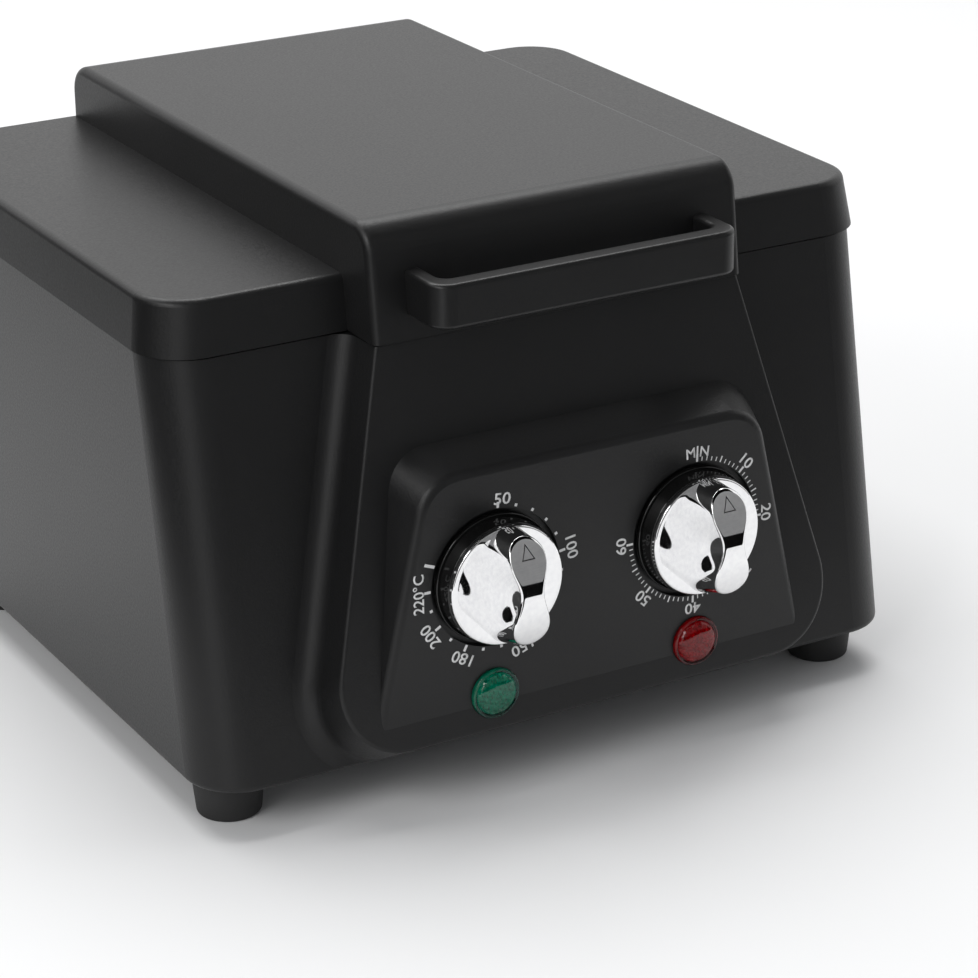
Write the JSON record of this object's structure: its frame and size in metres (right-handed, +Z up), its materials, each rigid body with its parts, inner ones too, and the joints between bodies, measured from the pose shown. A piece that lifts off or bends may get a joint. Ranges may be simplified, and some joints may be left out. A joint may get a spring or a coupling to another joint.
{
  "type": "dry heat sterilizer",
  "caption": "Countertop dry heat sterilizer: black moulded box, hinged lid with strap handle over a steel chamber, sloped control panel with temperature and timer knobs and lamps.",
  "frame": {"origin": "on the table, at the middle of the outline seen from above, feet standing on z = 0", "axes": "+X to the right seen from the control panel, +Y from the control panel to the rear wall, +Z up"},
  "size_m": [0.2256, 0.245, 0.1621],
  "materials": {
    "housing_plastic": "satin, fine grain",
    "lid_plastic": "satin, fine grain",
    "handle_plastic": "satin",
    "skirt_plastic": "polished",
    "cap_chrome": "mirror",
    "stainless": "satin",
    "shield_steel": "mill",
    "plate_paint": "satin",
    "heater_ceramic": "matt",
    "control_plastic": "matt",
    "lens_green": "clear tinted",
    "lens_red": "clear tinted",
    "holder_plastic": "matt",
    "inlet_plastic": "matt",
    "brass": "plain",
    "screw_steel": "zinc plated",
    "foot_rubber": "matt",
    "seal_rubber": "matt silicone",
    "bracket_steel": "satin powder coat",
    "shaft_steel": "plain"
  },
  "bodies": {
    "base": {"housing": "housing_plastic", "bottom_plate": "plate_paint", "chamber": "stainless", "heat_shield": "shield_steel", "heater_plate": "heater_ceramic", "tray": "stainless", "thermostat": "control_plastic", "timer": "control_plastic", "lamp_lens_green": "lens_green", "lamp_lens_red": "lens_red", "lamp_holder_green": "holder_plastic", "lamp_holder_red": "holder_plastic", "inlet_body": "inlet_plastic", "foot_front_left": "foot_rubber", "foot_screw_front_left": "screw_steel", "foot_front_right": "foot_rubber", "foot_screw_front_right": "screw_steel", "foot_rear_left": "foot_rubber", "foot_screw_rear_left": "screw_steel", "foot_rear_right": "foot_rubber", "foot_screw_rear_right": "screw_steel", "inlet_screw_left": "screw_steel", "hinge_pin_left": "shaft_steel", "hinge_bracket_left": "bracket_steel", "bracket_screw_left_upper": "screw_steel", "bracket_screw_left_lower": "screw_steel", "inlet_screw_right": "screw_steel", "hinge_pin_right": "shaft_steel", "hinge_bracket_right": "bracket_steel", "bracket_screw_right_upper": "screw_steel", "bracket_screw_right_lower": "screw_steel", "inlet_pin_line": "brass", "inlet_pin_neutral": "brass", "inlet_pin_earth": "brass"},
    "lid": {"lid_shell": "lid_plastic", "lid_liner": "stainless", "lid_seal": "seal_rubber", "handle": "handle_plastic", "handle_screw_left": "screw_steel", "handle_screw_right": "screw_steel", "liner_screw_front_left": "screw_steel", "liner_screw_front_right": "screw_steel", "liner_screw_rear_left": "screw_steel", "liner_screw_rear_right": "screw_steel"},
    "temperature_knob": {"temperature_cap": "cap_chrome", "temperature_skirt": "skirt_plastic", "temperature_shaft": "shaft_steel"},
    "timer_knob": {"timer_cap": "cap_chrome", "timer_skirt": "skirt_plastic", "timer_shaft": "shaft_steel"}
  },
  "joints": [
    {"name": "lid_hinge", "type": "hinge", "parent": "base", "child": "lid", "pos_m": [0, 0.11793, 0.1303], "axis": [-1, 0, 0], "range_deg": [0, 90]},
    {"name": "temperature_knob_turn", "type": "hinge", "parent": "base", "child": "temperature_knob", "pos_m": [-0.0316, -0.10253, 0.0658], "axis": [0, 1, 0], "range_deg": [0, 294]},
    {"name": "timer_knob_turn", "type": "hinge", "parent": "base", "child": "timer_knob", "pos_m": [0.0316, -0.10253, 0.0658], "axis": [0, 1, 0], "range_deg": [0, 270]}
  ]
}
